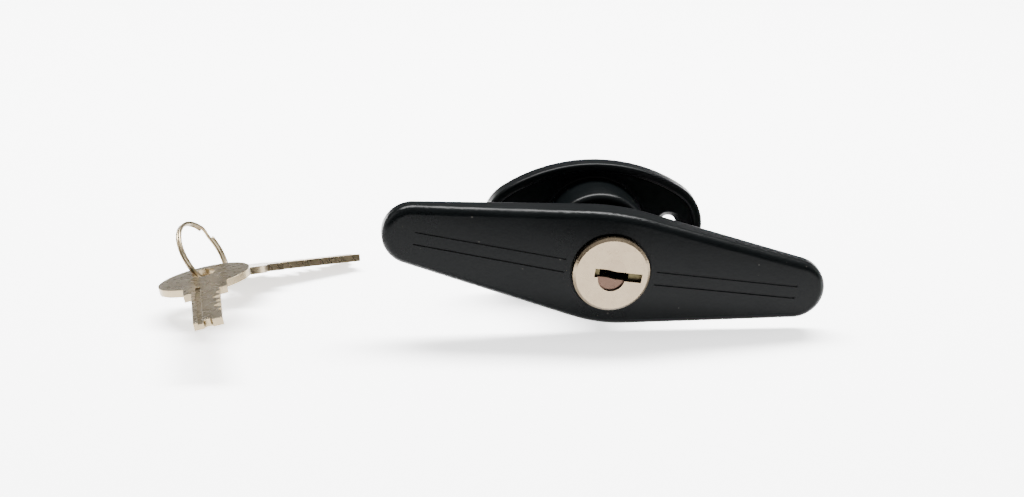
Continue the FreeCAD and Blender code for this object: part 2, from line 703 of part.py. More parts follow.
def hollow_shank(body):
    """The lock's bore, wafer channels, bolt pocket, spindle socket and pin hole."""
    bore = new_sketch(body, "lock_bore_line", "XY")
    recess = "(face_diameter / 2 + recess_gap)"
    catch_low = "(catch_height - wafer_thickness / 2 - catch_play)"
    catch_high = "(catch_height + wafer_thickness / 2 + catch_play)"
    seat = "(face_seat_height - running_gap)"
    outline(
        bore,
        [
            ("0", "-(face_height + cut_margin)"),
            (recess, "-(face_height + cut_margin)"),
            (recess, f"-{seat}"),
            ("plug_bore", f"-{seat}"),
            ("plug_bore", f"-{catch_high}"),
            ("catch_groove_radius", f"-{catch_high}"),
            ("catch_groove_radius", f"-{catch_low}"),
            ("plug_bore", f"-{catch_low}"),
            ("plug_bore", "-(plug_end_height - end_gap)"),
            ("chamber_radius", "-(plug_end_height - end_gap)"),
            ("chamber_radius", "-bolt_height"),
            ("0", "-bolt_height"),
        ],
    )
    turned(body, "Groove", "lock_bore", bore)
    channels = new_sketch(body, "channels_outline", shift={"z": "catch_height"})
    channel_half = "(wafer_width / 2 + wafer_slack)"
    rectangle(channels, "-channel_reach", "channel_reach", f"-{channel_half}", channel_half)
    cut(body, "channels", channels, f"{seat} - catch_height + cut_margin / 6", Reversed=True)
    pocket = new_sketch(body, "pocket_outline", "XY", {"z": "bolt_tail + bolt_slack"})
    half = "(bolt_width / 2 + bolt_slack)"
    reach = "(bolt_thickness / 2 + bolt_slack)"
    rectangle(
        pocket, f"-{half}", half, f"-(bolt_height + {reach})", f"-(bolt_height - {reach})"
    )
    cut(body, "bolt_pocket", pocket, "bolt_tail + shank_diameter")
    socket = new_sketch(body, "socket_outline", shift={"z": "-journal_reach"})
    side = "(socket_side / 2 + socket_gap)"
    rectangle(socket, f"-{side}", side, f"-{side}", side)
    cut(body, "socket", socket, "socket_depth + end_gap", Reversed=True)
    cross = new_sketch(body, "cross_hole_outline", "XY")
    circle(cross, "0", "cross_pin_height", "cross_pin_radius")
    cut(body, "cross_hole", cross)


def make_shank_seal():
    ring = doc.addObject("Part::Torus", "shank_seal_ring")
    ring.Placement = Placement(Vector(), Rotation(Vector(1, 0, 0), 90))
    bind(ring, "Radius1", f"shank_diameter / 2 - seal_lift - seal_section / 2")
    bind(ring, "Radius2", "seal_section / 2")
    bind(ring, "Placement.Base.y", "-seal_height")
    ring.Label = "shank_seal"
    return ring


def make_ring_body(name, corners):
    """A piece turned about the shank's axis from a half section."""
    body = lean(new_body(name))
    sketch = new_sketch(body, f"{name}_line", "XY")
    outline(sketch, corners)
    turned(body, "Revolution", f"{name}_ring", sketch)
    return body


def make_disc_spring():
    inner = "(journal_diameter / 2 + running_gap * 2)"
    outer = "(washer_diameter / 2)"
    return make_ring_body(
        "disc_spring",
        [
            (inner, f"disc_start + disc_dish"),
            (outer, "disc_start"),
            (outer, f"disc_start + disc_thickness"),
            (inner, f"disc_start + disc_dish + disc_thickness"),
        ],
    )


def make_thrust_washer():
    inner = "(journal_diameter / 2 + running_gap * 2)"
    outer = "(washer_diameter / 2)"
    low = "washer_start"
    high = f"(washer_start + washer_thickness - end_gap / 2)"
    return make_ring_body(
        "thrust_washer", [(inner, low), (outer, low), (outer, high), (inner, high)]
    )


def make_retaining_ring():
    """An open ring with two eyes for the pliers, snapped into the journal's groove."""
    body = lean(new_body("retaining_ring"))
    start = f"-(clip_start + end_gap / 2 + clip_thickness)"
    inner = "(journal_diameter / 2 - clip_bite + running_gap)"
    outer = f"({inner} + clip_width)"
    eye_centre = f"({inner} + eye_radius + eye_lift)"
    half = "(clip_opening / 2)"
    whole = new_sketch(body, "ring_outline", shift={"z": start})
    circle(whole, "0", "0", outer)
    pad(body, "ring", whole, "clip_thickness")
    eyes = new_sketch(body, "eyes_outline", shift={"z": start})
    for sign in ("", "-"):
        circle(
            eyes,
            f"{sign}{eye_centre} * sin({half} + eye_turn)",
            f"-{eye_centre} * cos({half} + eye_turn)",
            "eye_radius",
        )
    pad(body, "eyes", eyes, "clip_thickness")
    hole = new_sketch(body, "ring_hole_outline")
    circle(hole, "0", "0", inner)
    cut(body, "ring_hole", hole)
    gap = new_sketch(body, "opening_outline")
    far = f"({outer} * 2)"
    near = f"({inner} / 2)"
    outline(
        gap,
        [
            (f"{near} * tan({half} - opening_turn)", f"-{near}"),
            (f"-{near} * tan({half} - opening_turn)", f"-{near}"),
            (f"-{far} * tan({half} - opening_turn)", f"-{far}"),
            (f"{far} * tan({half} - opening_turn)", f"-{far}"),
        ],
    )
    cut(body, "opening", gap)
    pins = new_sketch(body, "plier_holes_outline")
    for sign in ("", "-"):
        circle(
            pins,
            f"{sign}{eye_centre} * sin({half} + eye_turn)",
            f"-{eye_centre} * cos({half} + eye_turn)",
            "eye_hole",
        )
    cut(body, "plier_holes", pins)
    return body


def make_spindle():
    body = lean(new_body("spindle"))
    profile = new_sketch(body, "spindle_outline", shift={"z": "-spindle_reach"})
    half = "socket_side / 2"
    rectangle(profile, f"-{half}", half, f"-{half}", half)
    pad(body, "spindle_bar", profile, "spindle_reach - journal_reach + socket_depth")
    far = number("spindle_reach")
    ends = level_edge(far, always, never)
    dress(body, "Chamfer", "spindle_tip", ends, "spindle_chamfer")
    cross = new_sketch(body, "cross_hole_outline", "XY")
    circle(cross, "0", "cross_pin_height", "cross_pin_radius")
    cut(body, "cross_hole", cross)
    return body


def make_spindle_pin():
    """A rolled spring pin with its slit, through the shank and the spindle."""
    body = lean(new_body("spindle_pin"))
    section = new_sketch(body, "pin_outline", "XY")
    circle(section, "0", "cross_pin_height", "cross_pin_radius - running_gap / 5")
    circle(section, "0", "cross_pin_height", "cross_pin_radius - cross_pin_wall")
    pad(body, "pin", section, "journal_diameter - 2 * pin_end_inset", Midplane=True)
    slit = new_sketch(body, "slit_outline", "XY")
    rectangle(
        slit,
        "-cross_pin_wall / 2",
        "cross_pin_wall / 2",
        "cross_pin_height",
        "cross_pin_height + cross_pin_radius * 2",
    )
    cut(body, "slit", slit)
    return body


# The lock: face cap, plug, wafers with their springs, drive pin and bolt
def jogged_slot(sketch, left, right, width):
    """A slot whose left half lies a little higher than its right half."""
    jog = "slot_jog / 2"
    near = "(slot_jog * 3)"
    half = f"({width}) / 2"
    outline(
        sketch,
        [
            (f"-{left}", f"{jog} - {half}"),
            (f"-{near}", f"{jog} - {half}"),
            (near, f"-{jog} - {half}"),
            (right, f"-{jog} - {half}"),
            (right, f"-{jog} + {half}"),
            (near, f"-{jog} + {half}"),
            (f"-{near}", f"{jog} + {half}"),
            (f"-{left}", f"{jog} + {half}"),
        ],
    )


def half_dimple(sketch, sign, turn):
    """One half of the oval recess in the lock's face, above or below its middle."""
    radius = "(dimple_width / 2)"
    drop = "(dimple_height / 2 - dimple_width / 2)"
    outline(
        sketch,
        [
            (f"-{radius}", "0"),
            (f"-{radius}", f"{sign}{drop}", radius, turn),
            ("0", f"{sign}({drop} + {radius})", radius, turn),
            (radius, f"{sign}{drop}"),
            (radius, "0"),
        ],
    )


def make_face_cap():
    body = lean(new_body("face_cap"), "plug_lead")
    outer = "(face_diameter / 2)"
    inner = "(plug_head_diameter / 2)"
    top = "face_height"
    sketch = new_sketch(body, "cap_line", "XY")
    outline(
        sketch,
        [
            ("0", f"-{top}"),
            (f"{outer} - face_bevel", f"-{top}"),
            (outer, f"-({top} - face_bevel)"),
            (outer, "-face_seat_height"),
            (inner, "-face_seat_height"),
            (inner, f"-({top} - face_thickness)"),
            ("0", f"-({top} - face_thickness)"),
        ],
    )
    turned(body, "Revolution", "cap", sketch)
    lower = new_sketch(
        body, "lower_dimple_outline", shift={"z": "face_height - dimple_depth"}
    )
    half_dimple(lower, "-", "left")
    cut(body, "lower_dimple", lower, "dimple_depth * 2", Reversed=True)
    upper = new_sketch(
        body, "upper_dimple_outline", shift={"z": "face_height - dimple_upper_depth"}
    )
    half_dimple(upper, "", "right")
    cut(body, "upper_dimple", upper, "dimple_depth * 2", Reversed=True)
    slot = new_sketch(body, "face_slot_outline")
    jogged_slot(slot, "slot_left", "slot_right", "slot_width")
    cut(body, "face_slot", slot)
    return body


def wafer_outline(sketch, slack):
    """A wafer seen from the front, grown by the slack: a strip with rounded ends and
    a lug on top that its spring pushes."""
    radius = f"(plug_diameter / 2 - wafer_inset + {slack} * 4)"
    half = f"(wafer_width / 2 + {slack})"
    end_x = f"sqrt({radius} ^ 2 - {half} ^ 2)"
    lug_left = f"-(keyway_left + lug_far + {slack})"
    lug_right = f"-(keyway_left + lug_near - {slack})"
    outline(
        sketch,
        [
            (end_x, f"-{half}", radius, "left"),
            (end_x, half),
            (lug_right, half),
            (lug_right, f"lug_height + {slack}"),
            (lug_left, f"lug_height + {slack}"),
            (lug_left, half),
            (f"-{end_x}", half, radius, "left"),
            (f"-{end_x}", f"-{half}"),
        ],
    )




def make_lock_plug():
    body = lean(new_body("lock_plug"), "plug_lead")
    head = "(plug_head_diameter / 2 - running_gap / 5)"
    plug = "(plug_diameter / 2)"
    top = "(face_height - face_thickness - running_gap / 5)"
    line = new_sketch(body, "plug_line", "XY")
    outline(
        line,
        [
            ("0", f"-{top}"),
            (head, f"-{top}"),
            (head, "-face_seat_height"),
            (plug, "-face_seat_height"),
            (plug, "-plug_end_height"),
            ("0", "-plug_end_height"),
        ],
    )
    turned(body, "Revolution", "plug", line)
    keyway = new_sketch(body, "keyway_outline", shift={"z": "keyway_end_height"})
    jogged_slot(keyway, "keyway_left", "keyway_right", "keyway_width")
    cut(body, "keyway", keyway, "face_height - keyway_end_height", Reversed=True)
    slot = new_sketch(body, "wafer_slot_outline", shift={"z": "wafer_first_height"})
    wafer_outline(slot, "wafer_slack")
    slot_cut = cut(
        body, "wafer_slot", slot, "wafer_thickness + 2 * wafer_slack", Midplane=True
    )
    reach = f"wafer_pitch * {WAFER_COUNT - 1}"
    pattern(body, "wafer_slots", slot_cut, WAFER_COUNT, reach, "Y_Axis")
    hole = new_sketch(body, "spring_hole_outline", "YZ", {"z": "spring_start"})
    circle(hole, "-wafer_first_height", "spring_axis", "spring_radius + wafer_slack")
    hole_cut = cut(
        body, "spring_hole", hole, "spring_length + wafer_slack", Reversed=True
    )
    pattern(body, "spring_holes", hole_cut, WAFER_COUNT, reach, "Y_Axis")
    catch = new_sketch(body, "catch_slot_outline", shift={"z": "catch_height"})
    half = "(wafer_width / 2 + wafer_slack)"
    rectangle(catch, "-plug_diameter", "catch_slot_end", f"-{half}", half)
    cut(body, "catch_slot", catch, "wafer_thickness + 2 * wafer_slack", Midplane=True)
    seat = new_sketch(body, "pin_hole_outline", shift={"z": "plug_end_height"})
    circle(seat, "pin_x", "pin_z", "pin_radius")
    cut(body, "pin_hole", seat, "pin_seat_depth", Reversed=True)
    return body




def make_wafers():
    """Five wafers, alike but for the place of the window that the key lifts."""
    made = []
    for i in range(WAFER_COUNT):
        body = lean(new_body(f"wafer_{i + 1}"), "plug_lead")
        height = f"wafer_first_height - {i} * wafer_pitch"
        sketch = new_sketch(body, f"wafer_{i + 1}_outline", shift={"z": height})
        wafer_outline(sketch, "0")
        shift = WINDOW_SHIFTS[i]
        rectangle(
            sketch,
            f"-(keyway_left + window_play) + {shift}",
            f"keyway_right + window_play + {shift}",
            "-(window_width / 2 + window_play)",
            "window_width / 2",
        )
        pad(body, f"wafer_{i + 1}_sheet", sketch, "wafer_thickness", Midplane=True)
        made.append(body)
    return made


def make_wafer_springs():
    """The wafers' springs, each as the closed outer shape of its coil."""
    made = []
    for i in range(WAFER_COUNT):
        body = lean(new_body(f"wafer_spring_{i + 1}"), "plug_lead")
        sketch = new_sketch(
            body, f"wafer_spring_{i + 1}_outline", "YZ", {"z": "spring_start"}
        )
        place = f"-(wafer_first_height - {i} * wafer_pitch)"
        circle(sketch, place, "spring_axis", "spring_radius")
        pad(body, f"wafer_spring_{i + 1}_coil", sketch, "spring_length")
        made.append(body)
    return made


def make_catch_wafer():
    """The wafer at the back whose nose snaps into the groove and holds the plug in."""
    body = lean(new_body("catch_wafer"), "plug_lead")
    sketch = new_sketch(body, "catch_outline", shift={"z": "catch_height"})
    half = "(wafer_width / 2)"
    outline(
        sketch,
        [
            ("-catch_reach", f"-{half} + catch_bevel"),
            ("-plug_diameter / 2 + catch_bevel", f"-{half}"),
            (f"-(catch_wafer_end)", f"-{half}"),
            (f"-(catch_wafer_end)", half),
            ("-plug_diameter / 2 + catch_bevel", half),
            ("-catch_reach", f"{half} - catch_bevel"),
        ],
    )
    pad(body, "catch_sheet", sketch, "wafer_thickness", Midplane=True)
    return body


def make_catch_spring():
    body = lean(new_body("catch_spring"), "plug_lead")
    sketch = new_sketch(body, "catch_spring_outline", "YZ", {"z": f"-(catch_wafer_end)"})
    circle(sketch, "-catch_height", "0", "spring_radius")
    pad(body, "catch_spring_coil", sketch, f"catch_wafer_end + catch_slot_end")
    return body


def make_drive_pin():
    """The eccentric pin on the plug's tail that moves the bolt."""
    body = lean(new_body("drive_pin"), "plug_lead")
    start = "(bolt_height - bolt_thickness / 2 + pin_clear)"
    sketch = new_sketch(body, "drive_pin_outline", shift={"z": start})
    circle(sketch, "pin_x", "pin_z", "pin_radius")
    pad(body, "drive_pin_rod", sketch, f"plug_end_height + pin_seat_depth - {start}")
    return body


def make_locking_bolt():
    """The bolt, drawn back into the shank, with the slot that the drive pin works in."""
    body = lean(new_body("locking_bolt"))
    half = "(bolt_width / 2)"
    nose = "(shank_diameter / 2 - bolt_inset)"
    back = "(bolt_height - bolt_thickness / 2)"
    sketch = new_sketch(body, "bolt_outline", shift={"z": back})
    corner = f"sqrt({nose} ^ 2 - {half} ^ 2)"
    outline(
        sketch,
        [
            (f"-{half}", "bolt_tail"),
            (f"-{half}", f"-{corner}", nose, "left"),
            (half, f"-{corner}"),
            (half, "bolt_tail"),
        ],
    )
    pad(body, "bolt_block", sketch, "bolt_thickness")
    floor = f"{back} + bolt_slot_floor"
    slot = new_sketch(body, "bolt_slot_outline", shift={"z": floor})
    around = "(pin_radius + pin_slack)"
    level = "(pin_offset * sin(45))"
    rectangle(
        slot,
        f"{level} - {around}",
        f"pin_offset + {around}",
        f"{level} - {around}",
        f"{level} + {around}",
    )
    cut(body, "bolt_slot", slot, "bolt_thickness", Reversed=True)
    return body


# The keys and their split ring, lying as a set beside the latch
BOW_TOP = "(bow_length / 2)"
BLADE_START = "(bow_length / 2 + shoulder_length)"
BLADE_TIP = f"({BLADE_START} + blade_length)"


def laid(thing, name):
    """Puts a piece of the key set where the named sizes say it lies."""
    place = "; ".join(f"{name}_{axis}" for axis in "xyz")
    turns = "; ".join(f"{name}_{turn}" for turn in ("yaw", "pitch", "roll"))
    bind(thing, "Placement", f"placement(vector({place}); rotation({turns}))")
    return thing


def make_key(name, place):
    """A flat key: oval bow with its hole, shoulders, cut blade and milled groove."""
    body = laid(new_body(name), place)
    bow = new_sketch(body, "bow_outline", "XY")
    ellipse = Part.Ellipse(Vector(), number("bow_width / 2"), number(BOW_TOP))
    index = bow.addGeometry(ellipse, False)
    bow.exposeInternalGeometry(index)
    bow.addConstraint(Sketcher.Constraint("Coincident", index, 3, -1, 1))
    bow.addConstraint(Sketcher.Constraint("PointOnObject", 1, 1, -1))
    for line, size in ((1, "bow_width"), (2, "bow_length")):
        held = bow.addConstraint(Sketcher.Constraint("Distance", line, number(size)))
        bind(bow, f"Constraints[{held}]", size)
    pad(body, "bow", bow, "key_thickness")
    stem = new_sketch(body, "stem_outline", "XY")
    rectangle(stem, "-shoulder_width / 2", "shoulder_width / 2", f"-{BLADE_START}", "0")
    pad(body, "stem", stem, "key_thickness")
    blade = new_sketch(body, "blade_outline", "XY")
    rectangle(blade, "-blade_width / 2", "blade_width / 2", f"-{BLADE_TIP}", "0")
    pad(body, "blade", blade, "key_thickness")
    hole = new_sketch(body, "hole_outline", "XY")
    circle(hole, "0", f"{BOW_TOP} - bow_hole_edge - bow_hole_radius", "bow_hole_radius")
    cut(body, "hole", hole)
    for i, depth in enumerate(CUT_DEPTHS):
        notch = new_sketch(body, f"cut_{i + 1}_outline", "XY")
        along = f"({BLADE_START} + cut_pitch * {i + 1})"
        edge = "(blade_width / 2)"
        bottom = f"({edge} - cut_depth * {depth})"
        outline(
            notch,
            [
                (bottom, f"-({along} + cut_floor / 2)"),
                (f"{edge} + cut_depth", f"-({along} + cut_floor / 2 + cut_slope)"),
                (f"{edge} + cut_depth", f"-({along} - cut_floor / 2 - cut_slope)"),
                (bottom, f"-({along} - cut_floor / 2)"),
            ],
        )
        cut(body, f"cut_{i + 1}", notch)
    nick = new_sketch(body, "tip_outline", "XY")
    circle(nick, "0", f"-{BLADE_TIP}", "tip_notch")
    cut(body, "tip_notch_cut", nick)
    floor = "key_thickness - blade_line_depth"
    line = new_sketch(body, "groove_outline", "XY", {"z": floor})
    left = "(-blade_width / 2 + blade_line_edge)"
    rectangle(line, left, f"{left} + blade_line_width", f"-{BLADE_TIP} - cut_margin", f"-{BOW_TOP}")
    cut(body, "groove", line, "blade_line_depth * 2", Reversed=True)
    return body


def make_key_ring():
    """The split ring as one closed turn of doubled wire with a groove between."""
    body = laid(new_body("key_ring"), "ring")
    section = new_sketch(body, "ring_line", "XZ")
    half = "(ring_wire_width / 2)"
    nick = "(ring_wire_width / 6)"
    outline(
        section,
        [
            (f"ring_radius - {half}", "-ring_wire_height"),
            (f"ring_radius + {half}", "-ring_wire_height"),
            (f"ring_radius + {half}", f"-{nick}"),
            (f"ring_radius + {half} - {nick}", "0"),
            (f"ring_radius + {half}", nick),
            (f"ring_radius + {half}", "ring_wire_height"),
            (f"ring_radius - {half}", "ring_wire_height"),
            (f"ring_radius - {half}", nick),
            (f"ring_radius - {half} + {nick}", "0"),
            (f"ring_radius - {half}", f"-{nick}"),
        ],
    )
    turned(body, "Revolution", "ring_turns", section)
    return body


PIECES = [
    make_escutcheon(),
    make_t_handle(),
    make_shank_seal(),
    make_disc_spring(),
    make_thrust_washer(),
    make_retaining_ring(),
    make_spindle(),
    make_spindle_pin(),
    make_face_cap(),
    make_lock_plug(),
    *make_wafers(),
    *make_wafer_springs(),
    make_catch_wafer(),
    make_catch_spring(),
    make_drive_pin(),
    make_locking_bolt(),
    make_key_ring(),
    make_key("key_a", "first_key"),
    make_key("key_b", "second_key"),
]

doc.recompute()
for thing in doc.Objects:
    if "Invalid" in thing.State or "Error" in thing.State:
        raise RuntimeError(f"{thing.Label} failed: {thing.State}")
for piece in PIECES:
    if piece.Shape.isNull() or not piece.Shape.isValid():
        raise RuntimeError(f"{piece.Label} has no valid shape")

os.makedirs("parts", exist_ok=True)
for piece in PIECES:
    piece.Shape.exportStep(f"parts/{piece.Label}.step")
    box = piece.Shape.BoundBox
    print(
        f"{piece.Label:16} {len(piece.Shape.Solids)} solid"
        f"  X {box.XMin:7.2f} {box.XMax:7.2f}"
        f"  Y {box.YMin:7.2f} {box.YMax:7.2f}"
        f"  Z {box.ZMin:7.2f} {box.ZMax:7.2f}"
        f"  {piece.Shape.Volume:9.1f} mm3"
    )
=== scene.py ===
import json
import math

import bmesh
import bpy
import numpy as np
from mathutils import Matrix, Vector


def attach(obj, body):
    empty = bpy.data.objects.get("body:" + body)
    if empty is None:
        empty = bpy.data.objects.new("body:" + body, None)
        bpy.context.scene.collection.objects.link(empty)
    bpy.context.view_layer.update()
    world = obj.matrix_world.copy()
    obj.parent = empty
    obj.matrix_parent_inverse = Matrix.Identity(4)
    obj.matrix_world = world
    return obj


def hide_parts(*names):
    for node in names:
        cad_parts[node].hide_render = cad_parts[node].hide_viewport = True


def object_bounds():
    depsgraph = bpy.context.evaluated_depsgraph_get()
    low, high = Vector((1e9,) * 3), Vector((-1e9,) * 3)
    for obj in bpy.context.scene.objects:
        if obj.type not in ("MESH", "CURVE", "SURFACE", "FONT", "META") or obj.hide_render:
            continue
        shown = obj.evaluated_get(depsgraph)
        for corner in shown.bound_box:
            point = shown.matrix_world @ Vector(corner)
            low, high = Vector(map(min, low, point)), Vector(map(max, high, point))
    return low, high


# The locking T-handle latch in its looks, in metres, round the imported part
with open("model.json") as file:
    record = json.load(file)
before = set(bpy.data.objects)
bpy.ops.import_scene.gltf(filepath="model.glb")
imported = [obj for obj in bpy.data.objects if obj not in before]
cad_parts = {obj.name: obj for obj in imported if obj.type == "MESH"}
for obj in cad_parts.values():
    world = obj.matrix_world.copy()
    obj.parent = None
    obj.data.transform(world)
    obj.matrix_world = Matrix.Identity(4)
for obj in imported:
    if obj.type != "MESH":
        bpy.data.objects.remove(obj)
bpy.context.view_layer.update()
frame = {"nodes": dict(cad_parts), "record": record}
MM = 0.001

# Camera, as the photograph was taken
VIEW_TURN = 7.35
VIEW_RISE = 22.12
VIEW_ROLL = 2.71
VIEW_DISTANCE = 550.0
VIEW_TARGET = (-26.56, -38.6, 7.58)
FOCAL_PIXELS = 2134.5
IMAGE_WIDTH = 1024.0
SENSOR_WIDTH = 36.0
NEAREST = 0.01

# Studio, in metres and watts: name, place, target, size and energy of each light
LIGHTS = (
    ("top_box", (0.0, 0.25, 0.7), (0, 0, 0), (0.9, 0.22), 46.0),
    ("left_box", (-0.75, 0.05, 0.35), (-0.03, 0, 0), (0.4, 0.5), 3.0),
    ("right_box", (0.75, 0.1, 0.3), (0, 0, 0), (0.35, 0.5), 2.5),
)
FLOOR_REACH = 2.0
FLOOR_GAP = 0.0002
PAPER_GLOW = 1.7
WALL_GREY = 0.3


def make_camera():
    turn, rise, roll = (math.radians(a) for a in (VIEW_TURN, VIEW_RISE, VIEW_ROLL))
    away = Vector(
        (-math.sin(turn) * math.cos(rise), -math.cos(turn) * math.cos(rise), math.sin(rise))
    )
    right = Vector((math.cos(turn), -math.sin(turn), 0))
    up = away.cross(right)
    rolled_right = right * math.cos(roll) + up * math.sin(roll)
    rolled_up = up * math.cos(roll) - right * math.sin(roll)
    camera = bpy.data.objects.new("camera", bpy.data.cameras.new("camera"))
    camera.data.sensor_width = SENSOR_WIDTH
    camera.data.lens = FOCAL_PIXELS * SENSOR_WIDTH / IMAGE_WIDTH
    camera.data.clip_start = NEAREST
    place = (Vector(VIEW_TARGET) + away * VIEW_DISTANCE) * MM
    rows = Matrix((rolled_right, rolled_up, away)).transposed()
    camera.matrix_world = Matrix.Translation(place) @ rows.to_4x4()
    bpy.context.scene.collection.objects.link(camera)
    bpy.context.scene.camera = camera


def area_light(name, place, target, size, energy):
    light = bpy.data.lights.new(name, "AREA")
    light.shape = "RECTANGLE"
    light.size, light.size_y = size
    light.energy = energy
    made = bpy.data.objects.new(name, light)
    made.location = place
    direction = Vector(target) - Vector(place)
    made.rotation_euler = direction.to_track_quat("-Z", "Y").to_euler()
    bpy.context.scene.collection.objects.link(made)


def make_studio():
    for light in LIGHTS:
        area_light(*light)
    make_world()
    floor_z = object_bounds()[0][2] - FLOOR_GAP
    ends = (-FLOOR_REACH, FLOOR_REACH)
    points = [(x, y, floor_z) for y in ends for x in ends]
    mesh = bpy.data.meshes.new("floor")
    mesh.from_pydata(points, [], [(0, 1, 3, 2)])
    floor = bpy.data.objects.new("floor", mesh)
    bpy.context.scene.collection.objects.link(floor)
    sheet, shader, tree = new_material("studio_paper", (0.95, 0.95, 0.95), 0.0, 0.8)
    shader.inputs["Emission Color"].default_value = (1, 1, 1, 1)
    shader.inputs["Emission Strength"].default_value = PAPER_GLOW
    bump(tree, shader, noise(tree, 900.0, 3.0), 0.02, 0.0002)
    floor.data.materials.append(sheet)


def make_world():
    """A room that is white overhead and dark round about, so that black stays black."""
    world = bpy.data.worlds.new("studio")
    world.use_nodes = True
    tree = world.node_tree
    place = tree.nodes.new("ShaderNodeTexCoord")
    split = tree.nodes.new("ShaderNodeSeparateXYZ")
    tree.links.new(place.outputs["Generated"], split.inputs["Vector"])
    high = ramp(tree, split.outputs["Z"], 0.35, 0.85, 0.0, 1.0)
    shade = blend(tree, high, (WALL_GREY,) * 3, (1.0, 1.0, 1.0))
    background = tree.nodes["Background"]
    tree.links.new(shade, background.inputs["Color"])
    bpy.context.scene.world = world


# Materials; the lock's face and the painted shade in its recess, in millimetres from the door and
# the axis
FACE_AT = 38.6
RECESS_SHADE_DEPTHS = (0.1, 0.6)
RECESS_SHADE_EDGE = (5.2, 5.6)
NOISE_ROUGHNESS = 0.55


def new_material(name, colour, metallic, roughness):
    material = bpy.data.materials.new(name)
    material.use_nodes = True
    tree = material.node_tree
    shader = tree.nodes["Principled BSDF"]
    shader.inputs["Base Color"].default_value = (*colour, 1)
    shader.inputs["Metallic"].default_value = metallic
    shader.inputs["Roughness"].default_value = roughness
    return material, shader, tree


def noise(tree, scale, detail=4.0, stretch=(1, 1, 1)):
    place = tree.nodes.new("ShaderNodeTexCoord")
    mapping = tree.nodes.new("ShaderNodeMapping")
    mapping.inputs["Scale"].default_value = stretch
    made = tree.nodes.new("ShaderNodeTexNoise")
    made.inputs["Scale"].default_value = scale
    made.inputs["Detail"].default_value = detail
    made.inputs["Roughness"].default_value = NOISE_ROUGHNESS
    tree.links.new(place.outputs["Object"], mapping.inputs["Vector"])
    tree.links.new(mapping.outputs["Vector"], made.inputs["Vector"])
    return made.outputs["Fac"]


def ramp(tree, value, low, high, first, last):
    made = tree.nodes.new("ShaderNodeMapRange")
    limits = {"From Min": low, "From Max": high, "To Min": first, "To Max": last}
    for name, number in limits.items():
        made.inputs[name].default_value = number
    tree.links.new(value, made.inputs["Value"])
    return made.outputs["Result"]


def product(tree, first, last):
    made = tree.nodes.new("ShaderNodeMath")
    made.operation = "MULTIPLY"
    tree.links.new(first, made.inputs[0])
    tree.links.new(last, made.inputs[1])
    return made.outputs["Value"]


def blend(tree, factor, first, last):
    made = tree.nodes.new("ShaderNodeMix")
    made.data_type = "RGBA"
    for socket, colour in ((6, first), (7, last)):
        if isinstance(colour, tuple):
            made.inputs[socket].default_value = (*colour, 1)
        else:
            tree.links.new(colour, made.inputs[socket])
    tree.links.new(factor, made.inputs[0])
    return made.outputs[2]


def bump(tree, shader, height, strength, distance, after=None):
    made = tree.nodes.new("ShaderNodeBump")
    made.inputs["Strength"].default_value = strength
    made.inputs["Distance"].default_value = distance
    tree.links.new(height, made.inputs["Height"])
    if after is not None:
        tree.links.new(after, made.inputs["Normal"])
    tree.links.new(made.outputs["Normal"], shader.inputs["Normal"])
    return made.outputs["Normal"]


def specks(tree, scale, size, share):
    """Single specks: small dots, one in a cell, in only a share of the cells."""
    place = tree.nodes.new("ShaderNodeTexCoord")
    cells = tree.nodes.new("ShaderNodeTexVoronoi")
    cells.inputs["Scale"].default_value = scale
    tree.links.new(place.outputs["Object"], cells.inputs["Vector"])
    split = tree.nodes.new("ShaderNodeSeparateColor")
    tree.links.new(cells.outputs["Color"], split.inputs["Color"])
    dot = ramp(tree, cells.outputs["Distance"], size * 0.6, size, 1.0, 0.0)
    chosen = ramp(tree, split.outputs["Red"], 1 - share, 1 - share + 0.01, 0.0, 1.0)
    return product(tree, dot, chosen)


def coated_black():
    """Black powder coat: fine orange peel and a few grey specks."""
    material, shader, tree = new_material("black_coat", (0.012, 0.012, 0.014), 0.0, 0.3)
    cloud = noise(tree, 55.0, 5.0)
    dust = specks(tree, 520.0, 0.16, 0.05)
    base = blend(tree, cloud, (0.0008, 0.0011, 0.0012), (0.0013, 0.0018, 0.002))
    colour = blend(tree, dust, base, (0.022, 0.021, 0.019))
    tree.links.new(colour, shader.inputs["Base Color"])
    tree.links.new(ramp(tree, cloud, 0.3, 0.7, 0.26, 0.36), shader.inputs["Roughness"])
    shader.inputs["Specular IOR Level"].default_value = 0.055
    peel = bump(tree, shader, noise(tree, 1500.0, 2.0), 0.12, 0.00012)
    bump(tree, shader, noise(tree, 260.0, 2.0), 0.05, 0.0006, peel)
    return material


def metal(name, colour, tone, roughness, grain, stretch=(1, 1, 1), relief=(0.1, 0.06)):
    """A bare or plated metal: two tones in soft clouds, fine grain and scratches."""
    material, shader, tree = new_material(name, colour, 1.0, sum(roughness) / 2)
    cloud = noise(tree, 140.0, 4.0)
    tree.links.new(blend(tree, cloud, colour, tone), shader.inputs["Base Color"])
    fine = noise(tree, grain, 3.0, stretch)
    tree.links.new(ramp(tree, fine, 0.3, 0.7, *roughness), shader.inputs["Roughness"])
    worn = bump(tree, shader, fine, relief[0], 0.00006)
    bump(tree, shader, noise(tree, 420.0, 2.0), relief[1], 0.0003, worn)
    return material


